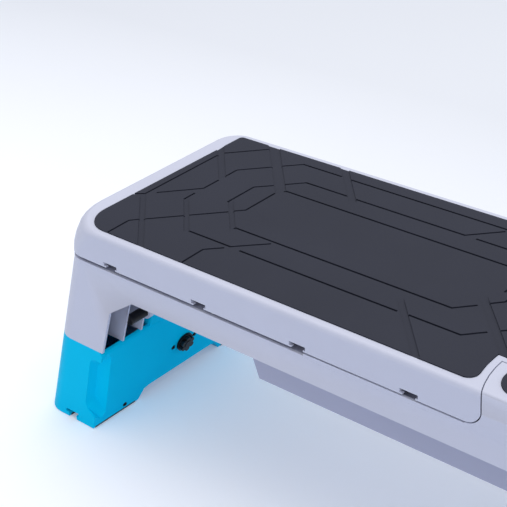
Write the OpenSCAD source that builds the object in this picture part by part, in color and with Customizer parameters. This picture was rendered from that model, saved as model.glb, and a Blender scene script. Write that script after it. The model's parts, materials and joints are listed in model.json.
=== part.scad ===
// Workout deck: a low step that turns into a bench.
// X runs along the deck, Y across it, Z up. The origin is on the floor under the deck's middle.

/* [Heights] */
// Height of a folding leg, floor to the foot that rests on it
leg_h = 153; // [148:1:156]
// Height of the grey foot below the side rail
foot_h = 111; // [110:1:116]
// Height of the side rail, from its lower edge to the seam under the lid
rail_h = 40; // [37:0.5:46]
// Seam between the side rail and the lid
seam_gap = 2.5; // [2:0.1:4]
// How much lower the rail's edge lies from the lid's end to its lifting step
edge_drop = 3; // [2:0.5:4]
// Height of the lid's skirt up to its rim
lid_h = 47; // [44:0.5:56]

/* [Deck] */
// Length of the deck at its top
deck_l = 1050; // [1046:1:1090]
// Width of the deck at its top
deck_w = 354; // [346:1:380]
// Radius of the deck's corners, seen from above
corner_r = 38; // [32:1:40]
// Radius to which the two front corners open at the rim
rim_front_r = 80; // [60:1:86]
// Lean of the end walls, in degrees
end_lean = 19.5; // [19:0.1:20]
// Draft of the side walls, in degrees
side_draft = 1; // [0.6:0.1:1.4]
// Wall of the grey and blue mouldings
wall = 4; // [3.4:0.1:4.4]
// Rounding of the rim where it meets an end
rim_end_r = 8; // [6:1:12]
// Rounding of the rim along a side
rim_side_r = 6; // [4:0.5:8]
// Height over which the rim rounds
rim_drop = 8; // [6:0.5:9]

/* [Mats] */
// Thickness of the tread mats
mat_t = 4; // [3:0.5:5]
// How far a mat stands above the rim
mat_proud = 1.5; // [0.5:0.5:2]
// Rim left bare at an end
mat_end_inset = 32; // [28:1:38]
// Rim left bare along a side
mat_side_inset = 13; // [10:0.5:16]
// Radius of the mats' front corners
mat_r = 45; // [36:1:50]
// Radius of the mats' back corners
mat_back_r = 6; // [4:0.5:8]
// Gap round a mat in its recess
mat_gap = 0.4; // [0.2:0.1:0.8]

/* [Lid and seat] */
// Length of the seat block that stays fixed, along a side
seat_l = 350; // [340:1:360]
// How much further the seam runs towards the lid beside the tongue
seam_bow = 15; // [10:1:20]
// Half width of the lid's tongue
tongue_hw = 113; // [108:1:118]
// Reach of the tongue from the seam at a side to the hinge axis
tongue_reach = 77; // [70:1:90]
// Radius of the barrel at the end of the tongue
barrel_r = 13.5; // [12:0.5:14]
// Seam between the lid and the seat block
thin_gap = 1.6; // [1.4:0.1:2]
// Radius of the lid's lower corner at the seat block
lid_corner_r = 22; // [16:1:28]
// Diameter of the lid's hinge pin
hinge_pin_d = 10; // [8:0.5:12]
// How deep the underside ribs of the lid are
rib_h = 12; // [8:1:14]

/* [Band slots] */
// Distance from one slot to the next
slot_pitch = 168.2; // [160:0.2:172]
// First slot's distance from the end of the deck
slot_first = 98.4; // [92:0.2:110]
// Width of a slot's bar
slot_w = 26; // [22:0.5:30]
// Height of a slot's bar
slot_h = 5.5; // [5:0.5:7]
// Width of a slot's stem
slot_stem_w = 18.5; // [14:0.5:20]
// Height of a slot's stem
slot_stem_h = 2; // [1.5:0.5:3]

/* [Feet] */
// Height where an end wall starts to lean
kink_drop = 55.5; // [54:0.5:58]
// Width of a foot at its lower edge
foot_w = 106.9; // [104:0.1:108]
// Height of the straight inner edge of a foot
foot_edge_h = 78; // [72:1:84]
// How far that edge runs inwards over its height
foot_edge_run = 29; // [26:1:34]
// How far the inner edge runs on until it meets the rail
foot_arch_run = 50.5; // [48:0.5:56]
// Thickness of the ribs inside a foot
rib_t = 3; // [2.5:0.5:4]
// Outer rib pair, distance from the middle
rib_out_y = 138.5; // [134:0.5:142]
// Inner rib pair, distance from the middle
rib_in_y = 102; // [98:0.5:106]

/* [Folding legs] */
// Lean of a leg's inner face, in degrees
inner_lean = 17; // [16.6:0.1:17.4]
// Clearance of the folded leg above the low stance's floor
fold_lift = 1.4; // [1.2:0.1:1.8]
// Distance from the folded leg's outer corner to the hinge
hinge_reach = 124; // [123:0.2:124.6]
// Diameter of a leg's hinge rod
rod_d = 12; // [10:0.5:13]
// Radial clearance of a turning or sliding fit
run_fit = 0.08; // [0.04:0.01:0.1]
// Rounding of a leg's upper inner edge
shoulder_r = 7; // [6.4:0.1:8]
// Half width of a leg's hinge block
yoke_hw = 84.5; // [80:0.5:90]
// Diameter of a latch bar
latch_d = 16; // [12:0.5:18]
// Latch bar's distance inwards from the foot's lower inner corner
latch_in = 16.6; // [14:0.2:18]
// Latch bar's height above the foot's lower edge
latch_up = 40; // [36:1:44]
// Thickness of a leg's rubber foot
pad_t = 3; // [2.5:0.5:5]
// Height of the arch under a leg
arch_h = 19.5; // [14:0.5:21]
// Half width of the arch at its top
arch_top_hw = 68; // [62:1:72]
// Half width of the arch at the floor
arch_low_hw = 91; // [86:1:92]
// Width of the cord notch's bar in a leg's foot
notch_w = 28; // [22:1:32]
// Width of the cord notch's stem
notch_stem_w = 17; // [12:1:20]
// Height of the notch's stem
notch_stem_h = 8; // [6:0.5:10]
// Height of the notch's bar
notch_h = 6; // [5:0.5:8]
// Distance of the notch from the leg's outer corner
notch_in = 68; // [62:1:72]
// Depth of the hand scoop in the leg's inner corner
scoop_deep = 13; // [10:1:15]
// Width of the scoop on the leg's inner face
scoop_side = 20; // [17:1:24]
// Height of the scoop's lower end
scoop_low = 22; // [20:1:28]
// Height of bare leg above the scoop
scoop_drop = 19; // [16:1:24]
// Width of the scoop on the leg's front
scoop_w = 23; // [18:1:26]

/* [Knobs] */
// Diameter of a release knob over its lobes
knob_d = 28; // [24:1:32]
// Diameter of the disc behind the lobes
knob_disc_d = 32; // [28:1:34]
// Length of a knob's lobes in front of its disc
knob_l = 7; // [6:1:12]
// Number of lobes
knob_n = 6; // [5:1:7]
// Height of a knob above the floor
knob_z = 69; // [64:1:76]
// Diameter of a knob's stem
stem_d = 8; // [7:0.5:10]
// Distance of a knob plate's screws from the knob
plate_screw_y = 23; // [21:0.5:26]

/* [Storage tub] */
// Half length of the tub's floor
tub_hl = 218; // [200:1:218.4]
// Half width of the tub outside
tub_hw = 119.5; // [118:0.5:123]
// Height of the tub's floor above the floor in the low stance
tub_low = 26; // [26:1:34]
// Slope of the tub's ends, run over rise
tub_slope = 0.29; // [0.25:0.01:0.3]
// Wall of the tub and of the deck panel
tub_wall = 3.5; // [3:0.1:4]

/* [Prop] */
// Diameter of the prop's bar
prop_d = 12; // [10:0.5:13]
// Distance of the prop's hinge from the lid's hinge
prop_back = 140; // [136:1:144]
// Drop of the prop's hinge below the lid's hinge
prop_drop = 22; // [21:0.5:23]
// Length of the prop from its hinge to its foot
prop_l = 297.7; // [290:0.1:300]
// Distance of the prop's arms from the middle
prop_y = 95; // [92:0.5:97]
// Turn of the prop for each degree that the lid opens
prop_ratio = 1.783; // [1.77:0.001:1.8]
// Steepest angle of the lid used as a backrest
lid_turn = 75; // [72:0.5:75]
// Diameter of the prop's hinge pins
prop_pin_d = 8; // [6:0.5:9]

/* [Hidden] */
$fn = 48;
hull_fn = 32;
thin = 0.02;
over = 1;

touch = 0.1;
screw_d = 4;
screw_hole_d = screw_d + 0.4;
head_d = 8;
head_h = 2.4;
head_taper = 2.4;
thread_l = 7;
end_bulge = 1;

foot_z = leg_h;
rail_z = foot_z + foot_h;
base_top = rail_z + rail_h;
edge_z = base_top - edge_drop;
lid_z = base_top + seam_gap;
rim_z = lid_z + lid_h;
mat_z = rim_z + mat_proud - mat_t;
top_t = 4.5;
top_z = mat_z - top_t;
kink_z = rim_z - kink_drop;
panel_low = 0.5;
panel_z = edge_z - panel_low - tub_wall;
panel_top = panel_z + tub_wall;
ledge_t = 4;
ledge_w = 10;
ledge_z = panel_z - ledge_t;

half_l = deck_l / 2;
seam_x = half_l - seat_l;
hinge_x = seam_x + tongue_reach;
hinge_z = rim_z - barrel_r;
fold_z = foot_z + fold_lift;
fold_half = (90 - end_lean) / 2;
leg_x = half_x(fold_z) - hinge_reach * cos(fold_half);
leg_z = fold_z + hinge_reach * sin(fold_half);
foot_in_x = half_x(foot_z) - foot_w;
latch_x = foot_in_x - latch_in;
latch_z = foot_z + latch_up;
floor_in_x = foot_in_x + leg_h * tan(inner_lean);
tub_z = foot_z + tub_low;
tub_top = panel_z - touch;

face_x = seam_x - seam_bow - thin_gap - wall;
panel_end_x = seam_x - seam_bow - 1;
panel_play = 0.6;
panel_screw_n = 4;
panel_screw_first = 110;
panel_screw_pitch = 175;
panel_screw_in = 5;
opening_lip = 2;
opening_end = 14;
opening_r = 12;
edge_step_x = slot_x(2) + slot_stem_w / 2;

boss_t = 10;
latch_boss_t = 8;
latch_boss_wall = 4;
latch_proud = 3;
pin_boss_d = 22;
pin_boss_t = 8;
pin_cap_t = 2;
pin_half = tongue_hw + thin_gap + wall + 5;
rod_boss_d = 24;
rod_proud = 2;
rod_cap_t = 3;
rod_cap_d = rod_d + 6;
rod_half = rib_out_y + rib_t / 2 + rod_proud;
low_pad_in = 24;
low_pad_side = 22;
low_pad_wall = 3;
pad_x = half_x(foot_z) - low_pad_in;
pad_y = half_y(foot_z) - low_pad_side;
low_pad_d = 16;
low_pad_h = 3;
low_pad_proud = 1;

flange_w = 16;
flange_t = 3.5;
tub_r = 10;
tub_screw_n = 4;
tub_screw_pitch = 100;
tub_screw_end = 23;

rack_y = 58;
rack_t = 14;
rack_gap = 2.2;
rack_tail = 14;
rack_head = 26;
rack_step = 4;
groove_drop = 3;
groove_play = 2;
rack_angles = [for (a = [35:5:lid_turn]) a];
stop_angles = [lid_turn - 30, lid_turn - 15, lid_turn];
rack_screw_in = 34;
rack_path = [for (a = rack_angles) prop_foot(a) - [0, prop_d / 2 + rack_gap]];
rack_top = rack_path[len(rack_path) - 1];
rack_x = [rack_path[0][0] - rack_tail, rack_top[0] + rack_head];
rack_screw_x = [rack_x[0] + rack_screw_in, rack_x[1] - rack_screw_in];

bumper_d = 18;
bumper_h = 5;
bumper_z = panel_top + 0.3;
bumper_n = 3;
bumper_end = 60;
bumper_seat_end = 100;
bumper_side = 34;

lid_rib_t = 2.5;
lid_rib_y = 60;
lid_rib_pitch = 90;
lid_rib_end = 20;
tongue_edge = 4.5;
lid_mat_edge = 7.8;
seam_edge = 9.6;
lid_corner_in = 0.5;
mat_seam_r = 13;
seat_mat_in = 4;
seat_mat_r = 30;
mat_seat = 0.05;

bracket_t = 2.5;
bracket_gap = 15;
bracket_z = top_z - rib_h - touch;
bracket_hl = 22;
bracket_ear_r = 9;
bracket_screw_x = 16;
bracket_boss_d = 9;
eye_w = 10;
eye_wall = 4;
bend_r = 24;
sleeve_l = 60;
sleeve_t = 3;
pin_proud = 2;

shell_floor = 4;
skirt_reach = 12;
notch_deep = 30;
scoop_line = 19.5;
scoop_out = 30;
shell_lift = 0.8;
arch_round = [11, 2];
yoke_r = leg_x - (foot_in_x - (leg_z - foot_z) * tan(inner_lean));
yoke_round = yoke_r * cos(inner_lean);
yoke_foot_z = 96;
yoke_back = 40;
yoke_wall = 4;
yoke_gap = 0.3;
yoke_bays = 4;
leg_screw_y = 119;
leg_screw_z = 9.5;
pad_in = 5;
pad_play = 0.05;
plate_t = 2.5;
plate_r = 11;
head_sunk = 1.6;
head_play = 0.3;
knob_seat = 0.6;
disc_t = 3;
cap_h = 1;
stem_grip = 8;
stem_in = 34;
collar_d = 16;
collar_t = 3;
spring_d = 1.4;
spring_turns = 6;
spring_play = 0.3;

grey = "#B8BDD1";
dark_grey = "#969BB9";
blue = "#00B4E0";
black = "#24252B";
mat_black = "#34343D";
metal = "#A9ACB2";

// Half length of the deck's outside at a height
function half_x(z) = half_l + end_bulge + max(0, kink_z - z) * tan(end_lean);

// Half width of the deck's outside at a height
function half_y(z) = deck_w / 2 + (rim_z - z) * tan(side_draft);

// Radius of the deck's front corners at a height above the rail
function front_r(z) = corner_r + (rim_front_r - corner_r) * pow(max(0, (z - base_top) / (rim_z - base_top)), 2);

// Seam between lid and seat: its place along the deck at a distance from the middle
function seam_at(y) = seam_x - seam_bow
    + seam_bow * pow(max(0, y - tongue_hw) / (deck_w / 2 - tongue_hw), 2);

// Places of the band slots, from the left end
function slot_x(i) = -half_l + slot_first + i * slot_pitch;

// The prop's foot for a lid angle: [x, z]
function prop_hinge(a) = [
    hinge_x - prop_back * cos(a) - prop_drop * sin(a),
    hinge_z + prop_back * sin(a) - prop_drop * cos(a)
];
function prop_down(a) = a * (prop_ratio - 1);
function prop_foot(a) = prop_hinge(a) - prop_l * [cos(prop_down(a)), sin(prop_down(a))];

// An XZ outline made solid across the deck between two Y places
module across(y0, y1) {
    translate([0, y1, 0])
        rotate([90, 0, 0])
            linear_extrude(y1 - y0)
                children();
}

// The same solid on both sides of the middle
module both_sides() {
    children();
    mirror([0, 1, 0]) children();
}

// Rectangle with round corners, given by its half sizes
module rounded(hx, hy, r) {
    square([2 * (hx - r), 2 * hy], center = true);
    square([2 * hx, 2 * (hy - r)], center = true);
    for (sx = [-1, 1], sy = [-1, 1])
        translate([sx * (hx - r), sy * (hy - r)]) circle(r);
}

// The same with one radius at the front, where Y is low, and another at the back
module rounded_front(hx, hy, front_r, back_r) {
    translate([front_r - hx, -hy]) square([2 * (hx - front_r), 2 * hy]);
    translate([back_r - hx, 0]) square([2 * (hx - back_r), hy]);
    translate([-hx, front_r - hy]) square([2 * hx, 2 * hy - front_r - back_r]);
    for (s = [-1, 1]) {
        translate([s * (hx - front_r), front_r - hy]) circle(front_r);
        translate([s * (hx - back_r), hy - back_r]) circle(back_r);
    }
}

// Level section of the deck's outside, drawn in by an inset
module section(z, inset) {
    rounded(half_x(z) - inset, half_y(z) - inset, max(4, corner_r - inset));
}

module thin_section(z, inset) {
    translate([0, 0, z]) linear_extrude(thin) section(z, inset, $fn = hull_fn);
}

// The outside of the deck between two heights below the kink of the ends
module outside(z0, z1, inset) {
    hull() {
        thin_section(z0, inset);
        thin_section(z1 - thin, inset);
    }
}

// Straight part of the deck's outside
module straight_outside(z0, z1, inset) {
    translate([0, 0, z0]) linear_extrude(z1 - z0) section(z1, inset);
}

// Level section of the deck above the rail, drawn in by one inset at the ends and one at the sides
module deck_section(z, end_inset, side_inset) {
    bulge = end_bulge * (rim_z - z) / lid_h;
    translate([0, 0, z - thin])
        linear_extrude(thin)
            rounded_front(half_l + bulge - end_inset, half_y(z) - side_inset,
                          front_r(z) - side_inset, corner_r - side_inset, $fn = hull_fn);
}

// The deck from the rail up, with its rounded rim
module deck_body(z0) {
    wall_steps = 3;
    rim_steps = 4;
    rim_low = rim_z - rim_drop;
    hull() {
        for (i = [0:wall_steps])
            deck_section(z0 + thin + (rim_low - z0 - thin) * i / wall_steps, 0, 0);
        for (i = [1:rim_steps])
            let (a = 90 * i / rim_steps, k = 1 - cos(a))
                deck_section(rim_low + rim_drop * sin(a), k * rim_end_r, k * rim_side_r);
    }
}

// What lies inside the deck's walls above the rail, in steps that follow the front corners
module deck_inside(z0, z1, inset) {
    steps = 3;
    h = (z1 - z0) / steps;
    for (i = [0:steps - 1])
        translate([0, 0, z0])
            linear_extrude((i + 1) * h)
                rounded_front(half_l - inset, half_y(rim_z) - inset,
                              front_r(z0 + (i + 1) * h) - inset, corner_r - inset);
}

// Plan of the lid's wide part: everything left of the seam, drawn out by a distance
module seam_plan(grow) {
    steps = 6;
    reach = deck_w / 2 + 30;
    ys = [for (i = [0:steps]) tongue_hw + i * (reach - tongue_hw) / steps];
    polygon(concat(
        [[-half_l - 60, -reach]],
        [for (i = [steps:-1:0]) [seam_at(ys[i]) + grow, -ys[i]]],
        [for (i = [0:steps]) [seam_at(ys[i]) + grow, ys[i]]],
        [[-half_l - 60, reach]]
    ));
}

// Space of the lid, drawn out by a distance: the wide part with its rounded lower corner, and the tongue
module lid_space(grow) {
    r = lid_corner_r + grow;
    x1 = seam_x + lid_corner_in + grow;
    intersection() {
        translate([0, 0, lid_z - grow - over]) linear_extrude(lid_h + 30) seam_plan(grow);
        across(-deck_w, deck_w) {
            translate([-half_l - 50, lid_z - grow]) square([half_l + 50 + x1 - r, lid_h + 40]);
            translate([x1 - r - over, lid_z - grow + r]) square([r + over, lid_h + 40]);
            translate([x1 - r, lid_z - grow + r]) circle(r);
        }
    }
    tongue_space(grow, grow > 0);
}

// Space of the tongue with its barrel. The slot around it is open above the barrel too.
module tongue_space(grow, open_above = false) {
    across(-tongue_hw - grow, tongue_hw + grow) {
        translate([seam_x - seam_bow - 10, hinge_z - barrel_r - grow])
            square([tongue_reach + seam_bow + 10, 2 * barrel_r + grow + (open_above ? 30 : 0)]);
        translate([hinge_x, hinge_z]) circle(barrel_r + grow);
        if (open_above)
            translate([hinge_x, hinge_z]) square([barrel_r + grow, barrel_r + 30]);
    }
}

// Outline of both feet and the rail between them, seen from the front
module side_outline() {
    x0 = foot_in_x;
    x1 = foot_in_x - foot_edge_run;
    x2 = x1 - foot_arch_run;
    z1 = foot_z + foot_edge_h;
    w = half_x(foot_z) + 40;
    polygon([
        [-w, foot_z], [-x0, foot_z], [-x1, z1], [-x2, rail_z],
        [x2, rail_z], [x1, z1], [x0, foot_z], [w, foot_z],
        [w, rim_z + 20], [-w, rim_z + 20]
    ]);
}

// Ribs inside a foot, between the end wall and the foot's open inner side
module rib_plates(y, side) {
    both_sides()
        intersection() {
            across(y - rib_t / 2, y + rib_t / 2) side_outline();
            translate([side * half_l - 2 * foot_w, -deck_w, foot_z])
                cube([4 * foot_w, 2 * deck_w, ledge_z + over - foot_z]);
        }
}

module base_walls() {
    difference() {
        intersection() {
            outside(foot_z, kink_z, 0);
            across(-deck_w, deck_w) side_outline();
        }
        outside(foot_z - over, kink_z + over, wall);
    }
    difference() {
        straight_outside(kink_z, base_top, 0);
        straight_outside(kink_z - over, base_top + over, wall);
    }
}

// Fixed seat block at the right end, hollow below, with a slot for the lid's tongue
module seat_block() {
    difference() {
        intersection() {
            deck_body(base_top - thin);
            translate([face_x, -deck_w, base_top - over]) cube([deck_l, 2 * deck_w, lid_h * 2]);
        }
        lid_space(thin_gap);
        difference() {
            deck_inside(base_top - over, top_z, wall);
            lid_space(thin_gap + wall);
        }
        translate([0, 0, mat_z]) linear_extrude(mat_t + over) seat_mat_plan(mat_gap);
    }
}

module foot_roof(side) {
    roof_l = foot_w + foot_arch_run;
    translate([side * (half_l + wall - roof_l / 2) - roof_l / 2, -deck_w, ledge_z])
        cube([roof_l, deck_w * 2, tub_top - ledge_z]);
}

// Ledge along the walls on which the deck panel lies
module panel_ledge() {
    inset = wall + ledge_w;
    difference() {
        translate([-deck_l, -deck_w, ledge_z])
            cube([deck_l + face_x, deck_w * 2, tub_top - ledge_z]);
        translate([0, 0, ledge_z - over])
            linear_extrude(ledge_t + 2 * over)
                rounded(half_l - inset, half_y(base_top) - inset, corner_r - inset);
    }
}

// A round bar across the deck between two distances from the middle, on both sides
module cross_bar(y0, y1, x, z, d) {
    both_sides()
        translate([x, y1, z])
            rotate([90, 0, 0])
                cylinder(d = d, h = y1 - y0);
}

module pad_posts(d, z0, z1) {
    for (sx = [-1, 1], sy = [-1, 1])
        translate([sx * pad_x, sy * pad_y, z0]) cylinder(d = d, h = z1 - z0);
}

// What stands inside the walls: ribs, roofs of the feet, ledge and bosses
module base_insides() {
    intersection() {
        union() {
            outside(foot_z, kink_z, wall / 2);
            straight_outside(kink_z - thin, rim_z, wall / 2);
        }
        union() {
            panel_ledge();
            pad_posts(low_pad_d + 2 * low_pad_wall, foot_z, ledge_z + over);
            for (s = [-1, 1]) {
                foot_roof(s);
                rib_plates(rib_out_y, s);
                rib_plates(rib_in_y, s);
                foot_bosses(s);
            }
        }
    }
}

// Bosses for the hinge rod, flush with the outer rib's outer face, and one for the latch bar on the
// inner rib
module foot_bosses(s) {
    out = rib_out_y + rib_t / 2;
    cross_bar(rib_in_y - boss_t / 2, rib_in_y + boss_t / 2, s * leg_x, leg_z, rod_boss_d);
    cross_bar(out - boss_t, out, s * leg_x, leg_z, rod_boss_d);
    cross_bar(rib_in_y - latch_boss_t / 2, rib_in_y + latch_boss_t / 2, s * latch_x, latch_z,
              latch_d + 2 * latch_boss_wall);
}

// Lowered edge of the rail under the lid, from the lid's end to a step right of the third slot
module lifting_edge() {
    across(-deck_w, deck_w)
        translate([-half_x(edge_z) - over, edge_z])
            square([half_x(edge_z) + over + edge_step_x, edge_drop + seam_gap]);
}

module base_frame() {
    color(grey)
        difference() {
            union() {
                base_walls();
                seat_block();
                base_insides();
                cross_bar(tongue_hw + thin_gap, tongue_hw + thin_gap + pin_boss_t, hinge_x, hinge_z, pin_boss_d);
            }
            for (s = [-1, 1]) {
                cross_bar(rib_in_y - boss_t, rib_out_y + boss_t, s * leg_x, leg_z, rod_d + 2 * run_fit);
                cross_bar(rib_in_y - boss_t, rib_in_y + boss_t, s * latch_x, latch_z, latch_d);
            }
            cross_bar(tongue_hw - over, pin_half + pin_cap_t + over, hinge_x, hinge_z, hinge_pin_d);
            lid_space(thin_gap);
            lifting_edge();
            pad_posts(low_pad_d, foot_z - over, foot_z + low_pad_h - low_pad_proud);
            panel_screw_places(ledge_z - over) cylinder(d = screw_d, h = ledge_t + 2 * over);
        }
}

// Pan-head screw pointing down from its head's seat at the origin
module screw(l) {
    translate([0, 0, -l]) cylinder(d = screw_d, h = l);
    cylinder(d1 = head_d, d2 = head_d - head_taper, h = head_h);
}

module panel_screw_places(z) {
    for (sy = [-1, 1], i = [0:panel_screw_n - 1])
        translate([-half_l + panel_screw_first + i * panel_screw_pitch,
                   sy * (half_y(base_top) - wall - panel_screw_in), z])
            children();
}

module panel_plan() {
    inset = wall + panel_play;
    intersection() {
        rounded(half_l - inset, half_y(base_top) - inset, corner_r - wall);
        translate([-half_l, -deck_w]) square([half_l + panel_end_x, deck_w * 2]);
    }
}

module panel_opening() {
    x0 = -tub_end_x(panel_z) + tub_wall + opening_lip;
    x1 = panel_end_x - opening_end;
    translate([(x0 + x1) / 2, 0]) rounded((x1 - x0) / 2, tub_hw - tub_wall, opening_r);
}

module deck_panel() {
    color(dark_grey)
        difference() {
            translate([0, 0, panel_z]) linear_extrude(tub_wall) difference() {
                panel_plan();
                panel_opening();
            }
            panel_screw_places(panel_z - over) cylinder(d = screw_hole_d, h = tub_wall + 2 * over);
            tub_screw_places(panel_z - over) cylinder(d = screw_d, h = tub_wall + 2 * over);
        }
}

module panel_screws() {
    color(metal) panel_screw_places(panel_top) screw(thread_l);
}

// Half length of the tub's outside at a height
function tub_end_x(z) = tub_hl + (z - tub_z) * tub_slope;

module tub_outline(inset, z0) {
    polygon([
        [-tub_end_x(z0) + inset, z0], [tub_end_x(z0) - inset, z0],
        [tub_end_x(tub_top) - inset, tub_top + over], [-tub_end_x(tub_top) + inset, tub_top + over]
    ]);
}

module tub_screw_places(z) {
    for (sy = [-1, 1], i = [0:tub_screw_n - 1])
        translate([-tub_hl + tub_screw_end + i * tub_screw_pitch, sy * (tub_hw + flange_w / 2), z])
            children();
}

module storage_tub() {
    color(dark_grey)
        difference() {
            union() {
                intersection() {
                    across(-tub_hw, tub_hw) tub_outline(0, tub_z);
                    translate([0, 0, tub_z])
                        linear_extrude(tub_top - tub_z)
                            rounded(tub_end_x(tub_top) + over, tub_hw, tub_r);
                }
                translate([0, 0, tub_top - flange_t])
                    linear_extrude(flange_t)
                        rounded(tub_end_x(tub_top), tub_hw + flange_w, tub_r);
            }
            intersection() {
                across(-tub_hw + tub_wall, tub_hw - tub_wall) tub_outline(tub_wall, tub_z + tub_wall);
                translate([0, 0, tub_z])
                    linear_extrude(tub_top)
                        rounded(tub_end_x(tub_top), tub_hw - tub_wall, tub_r - tub_wall);
            }
            tub_screw_places(tub_top - flange_t - over) cylinder(d = screw_hole_d, h = flange_t + 2 * over);
            rack_screw_places(tub_z - over) cylinder(d = screw_hole_d, h = tub_wall + 2 * over);
        }
}

module tub_screws() {
    color(metal)
        tub_screw_places(tub_top - flange_t)
            mirror([0, 0, 1]) screw(flange_t + touch + tub_wall);
}

// Rack that catches the prop's foot: a ramp that follows the foot down, with three grooves
module prop_rack() {
    floor_z = tub_z + tub_wall + touch;
    color(black)
        both_sides()
            difference() {
                across(rack_y - rack_t / 2, rack_y + rack_t / 2)
                    polygon(concat(
                        rack_path,
                        [[rack_x[1], rack_top[1]], [rack_x[1], floor_z], [rack_x[0], floor_z],
                         [rack_x[0], rack_path[0][1] - rack_step]]
                    ));
                for (a = stop_angles)
                    translate([prop_foot(a)[0], rack_y, prop_foot(a)[1] - groove_drop])
                        rotate([90, 0, 0])
                            cylinder(d = prop_d + groove_play, h = rack_t + over, center = true);
                translate([0, 0, floor_z - over])
                    for (x = rack_screw_x)
                        translate([x, rack_y, 0]) cylinder(d = screw_d, h = thread_l + over);
            }
}

module rack_screw_places(z) {
    both_sides()
        for (x = rack_screw_x)
            translate([x, rack_y, z]) children();
}

module rack_screws() {
    color(metal)
        rack_screw_places(tub_z)
            mirror([0, 0, 1]) screw(tub_wall + touch + thread_l - over);
}

module seat_mat_plan(grow) {
    x0 = seam_x + seat_mat_in;
    r = seat_mat_r;
    difference() {
        intersection() {
            mat_outline(grow);
            union() {
                translate([x0 + r - grow, -deck_w]) square([seat_l, 2 * deck_w]);
                translate([x0 - grow, -half_y(rim_z) + mat_side_inset + r])
                    square([2 * r, 2 * (half_y(rim_z) - mat_side_inset - r)]);
                for (sy = [-1, 1])
                    translate([x0 + r, sy * (half_y(rim_z) - mat_side_inset - r)]) circle(r + grow);
            }
        }
        translate([seam_x - seam_bow - wall, -tongue_hw - tongue_edge + grow])
            square([seam_bow + wall + tongue_reach + barrel_r + tongue_edge + thin_gap - grow,
                    2 * (tongue_hw + tongue_edge - grow)]);
    }
}

module mat_outline(grow) {
    rounded_front(half_l - mat_end_inset + grow, half_y(rim_z) - mat_side_inset + grow,
                  mat_r + grow, mat_back_r + grow);
}

module seat_mat() {
    color(mat_black)
        translate([0, 0, mat_z + mat_seat]) linear_extrude(mat_t - mat_seat) seat_mat_plan(0);
}

// What a round corner takes off the lid's mat where the seam meets its front or back edge
module mat_seam_corner(grow) {
    r = mat_seam_r + grow;
    y1 = half_y(rim_z) - mat_side_inset;
    lean = (seam_at(y1) - seam_at(y1 - mat_seam_r)) / mat_seam_r;
    n = [1, -lean] / norm([1, lean]);
    c = [seam_at(y1) - seam_edge - mat_seam_r * (lean + norm([1, lean])), y1 - mat_seam_r];
    both_sides()
        difference() {
            polygon([c, c + (r + over) * n, c + 2 * r * [1, 1], c + [0, 2 * r]]);
            translate(c) circle(r);
        }
}

module lid_mat_plan(grow) {
    difference() {
        intersection() {
            mat_outline(grow);
            seam_plan(-seam_edge + grow);
        }
        mat_seam_corner(grow);
    }
    translate([seam_x - seam_bow - seat_mat_r, -tongue_hw + lid_mat_edge - grow])
        square([tongue_reach + seam_bow + seat_mat_r - wall + grow, 2 * (tongue_hw - lid_mat_edge + grow)]);
}

module backrest_mat() {
    color(mat_black)
        translate([0, 0, mat_z + mat_seat]) linear_extrude(mat_t - mat_seat) lid_mat_plan(0);
}

// T-shaped slots in the lower edge of the lid's skirt
module band_slots() {
    slot_n = 1 + floor((half_l + seam_x - slot_first - slot_w) / slot_pitch);
    for (i = [0:slot_n - 1])
        both_sides()
            across(-half_y(lid_z) - over, -half_y(lid_z) + skirt_reach) {
                translate([slot_x(i) - slot_w / 2, lid_z + slot_stem_h]) square([slot_w, slot_h]);
                translate([slot_x(i) - slot_stem_w / 2, lid_z - over])
                    square([slot_stem_w, slot_stem_h + 2 * over]);
            }
}

module lid_ribs() {
    h = rib_h + over;
    intersection() {
        union() {
            for (i = [-2:2])
                translate([-half_l, i * lid_rib_y - lid_rib_t / 2, top_z - rib_h])
                    cube([half_l + seam_x, lid_rib_t, h]);
            for (x = [-half_l + lid_rib_pitch:lid_rib_pitch:seam_x - lid_rib_end])
                translate([x - lid_rib_t / 2, -deck_w / 2, top_z - rib_h])
                    cube([lid_rib_t, deck_w, h]);
        }
        deck_inside(top_z - rib_h, top_z + over, wall / 2);
        translate([0, 0, lid_z]) linear_extrude(lid_h) seam_plan(-wall / 2);
    }
}

module bumper_places(z) {
    step = (half_l + seam_x - bumper_end - bumper_seat_end) / (bumper_n - 1);
    for (i = [0:bumper_n - 1], sy = [-1, 1])
        translate([-half_l + bumper_end + i * step, sy * (deck_w / 2 - bumper_side), z]) children();
}

module lid_solid() {
    difference() {
        intersection() {
            deck_body(lid_z - thin);
            lid_space(0);
        }
        difference() {
            intersection() {
                deck_inside(lid_z - over, top_z, wall);
                translate([0, 0, lid_z - over]) linear_extrude(lid_h) seam_plan(-wall);
            }
            tongue_space(-thin);
        }
        translate([0, 0, mat_z]) linear_extrude(mat_t + over) lid_mat_plan(mat_gap);
    }
}

module backrest_lid() {
    color(grey)
        difference() {
            union() {
                lid_solid();
                lid_ribs();
                bumper_places(bumper_z + bumper_h)
                    cylinder(d = bumper_d, h = top_z - bumper_z - bumper_h + over);
                bracket_screw_places(top_z - rib_h) cylinder(d = bracket_boss_d, h = rib_h + over);
            }
            band_slots();
            bracket_screw_places(top_z - rib_h - over) cylinder(d = screw_d, h = thread_l + over);
            translate([hinge_x, 0, hinge_z])
                rotate([90, 0, 0])
                    cylinder(d = hinge_pin_d + 2 * run_fit, h = deck_w, center = true);
        }
}

module lid_bumpers() {
    color(black) bumper_places(bumper_z) cylinder(d = bumper_d, h = bumper_h);
}

module backrest_hinge_pin() {
    color(metal)
        translate([hinge_x, 0, hinge_z])
            rotate([90, 0, 0])
                cylinder(d = hinge_pin_d, h = 2 * pin_half, center = true);
}

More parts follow.
